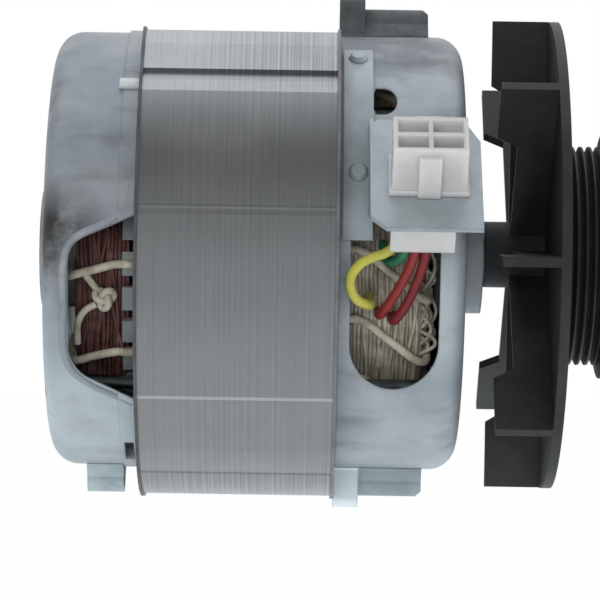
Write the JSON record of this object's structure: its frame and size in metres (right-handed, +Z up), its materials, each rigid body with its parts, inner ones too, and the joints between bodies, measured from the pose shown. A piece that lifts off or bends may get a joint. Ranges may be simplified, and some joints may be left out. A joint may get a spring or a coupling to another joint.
{
  "type": "washing machine motor",
  "caption": "Belt-drive induction motor with a laminated stator, windowed end bells, a moulded cooling fan, a ribbed belt pulley, mounting lugs and a bracketed lead connector.",
  "frame": {"origin": "on the shaft axis, level with the front faces of the two front mounting lugs", "axes": "+X along the shaft towards the pulley, +Z up to the upper lug, the connector on the -Y side"},
  "size_m": [0.157, 0.1567, 0.139],
  "materials": {
    "lamination": "satin",
    "end_plate": "satin",
    "insulator": "matte",
    "slot_copper": "satin",
    "slot_wedge": "matte",
    "red_winding": "satin",
    "tan_winding": "satin",
    "lacing": "matte",
    "bell": "satin",
    "dark_lug": "matte",
    "pale_lug": "satin",
    "bolt": "satin",
    "bearing": "polished",
    "ball_cage": "satin",
    "spring_steel": "satin",
    "bracket": "satin",
    "connector": "satin",
    "terminal": "satin",
    "red_lead": "satin",
    "yellow_lead": "satin",
    "green_lead": "satin",
    "rotor_steel": "satin",
    "rotor_cast": "satin",
    "shaft_steel": "satin",
    "moulding": "matte",
    "fastener": "satin"
  },
  "bodies": {
    "stator": {"stator_stack": "lamination", "rear_end_plate": "end_plate", "front_end_plate": "end_plate", "rear_insulator": "insulator", "front_insulator": "insulator", "slot_conductors": "slot_copper", "slot_wedges": "slot_wedge", "rear_winding_core": "red_winding", "rear_winding_wire": "red_winding", "front_winding_core": "tan_winding", "front_winding_wire": "tan_winding", "rear_lacing": "lacing", "front_lacing": "lacing", "rear_end_bell": "bell", "front_end_bell": "bell", "upper_mount_lug": "dark_lug", "lower_mount_lug": "pale_lug", "rear_mount_lug": "pale_lug", "clamp_bolts": "bolt", "rear_bearing_outer_race": "bearing", "front_bearing_outer_race": "bearing", "wave_washer": "spring_steel", "connector_bracket": "bracket", "bracket_rivets": "bracket", "connector_housing": "connector", "connector_terminals": "terminal", "red_lead_a": "red_lead", "red_lead_b": "red_lead", "yellow_lead": "yellow_lead", "green_lead": "green_lead"},
    "rotor": {"rotor_core": "rotor_steel", "rotor_cage": "rotor_cast", "rotor_shaft": "shaft_steel", "rear_bearing_inner_race": "bearing", "front_bearing_inner_race": "bearing", "fan_spacer": "shaft_steel", "cooling_fan": "moulding", "belt_pulley": "moulding", "pulley_flange": "moulding", "pulley_washer": "fastener", "pulley_nut": "fastener"},
    "rear_balls": {"rear_bearing_balls": "bearing", "rear_ball_cage": "ball_cage"},
    "front_balls": {"front_bearing_balls": "bearing", "front_ball_cage": "ball_cage"}
  },
  "joints": [
    {"name": "rotor_spin", "type": "hinge", "parent": "stator", "child": "rotor", "pos_m": [0, 0, 0], "axis": [1, 0, 0], "continuous": true},
    {"name": "rear_balls_orbit", "type": "hinge", "parent": "stator", "child": "rear_balls", "pos_m": [0, 0, 0], "axis": [1, 0, 0], "continuous": true},
    {"name": "front_balls_orbit", "type": "hinge", "parent": "stator", "child": "front_balls", "pos_m": [0, 0, 0], "axis": [1, 0, 0], "continuous": true}
  ],
  "couplings": [
    {"joint": "rear_balls_orbit", "follows": "rotor_spin", "ratio": 0.3825},
    {"joint": "front_balls_orbit", "follows": "rotor_spin", "ratio": 0.3825}
  ]
}
